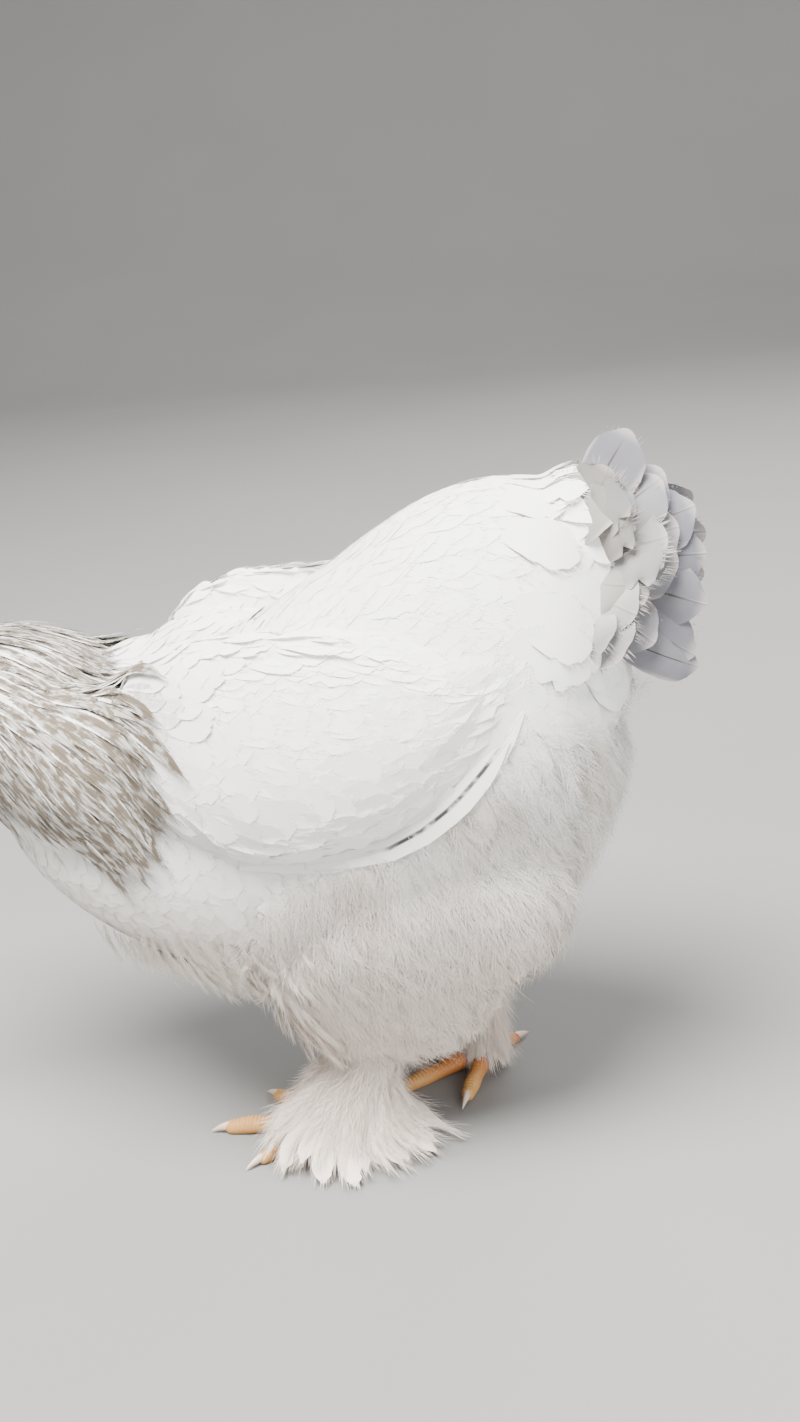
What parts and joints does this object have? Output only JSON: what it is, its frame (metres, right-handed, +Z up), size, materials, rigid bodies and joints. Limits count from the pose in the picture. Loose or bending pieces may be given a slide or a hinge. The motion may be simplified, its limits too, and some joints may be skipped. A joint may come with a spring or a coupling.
{
  "type": "light brahma hen, life-size model",
  "caption": "Life-size standing hen with a stretched neck, laced hackle, short grey tail and feathered shanks and feet.",
  "frame": {"origin": "on the floor, under the middle of the model's bounding box", "axes": "+Z up, the hen faces -X, its left side is towards -Y"},
  "size_m": [0.6018, 0.2618, 0.4397],
  "materials": {
    "white_plumage": "matt white feathers",
    "grey_plumage": "matt pale grey feathers",
    "laced_plumage": "matt grey-brown feathers laced with white",
    "face_skin": "matt red skin",
    "comb_skin": "satin red skin",
    "bill_horn": "satin yellow horn",
    "eye_amber": "gloss amber",
    "toe_scale": "satin yellow-orange scales",
    "claw_horn": "satin pinkish horn"
  },
  "bodies": {
    "root": {"bill_lower": "bill_horn", "bill_upper": "bill_horn", "claw_left_hind": "claw_horn", "claw_left_inner": "claw_horn", "claw_left_middle": "claw_horn", "claw_left_outer": "claw_horn", "claw_right_hind": "claw_horn", "claw_right_inner": "claw_horn", "claw_right_middle": "claw_horn", "claw_right_outer": "claw_horn", "comb": "comb_skin", "earlobe_left": "comb_skin", "earlobe_right": "comb_skin", "eye_left": "eye_amber", "eye_right": "eye_amber", "foot_left": "toe_scale", "foot_right": "toe_scale", "head": "face_skin", "neck": "laced_plumage", "shank_left": "white_plumage", "shank_right": "white_plumage", "tail": "grey_plumage", "thigh_left": "white_plumage", "thigh_right": "white_plumage", "torso": "white_plumage", "wattle_left": "comb_skin", "wattle_right": "comb_skin", "wing_left": "white_plumage", "wing_right": "white_plumage"}
  },
  "joints": []
}
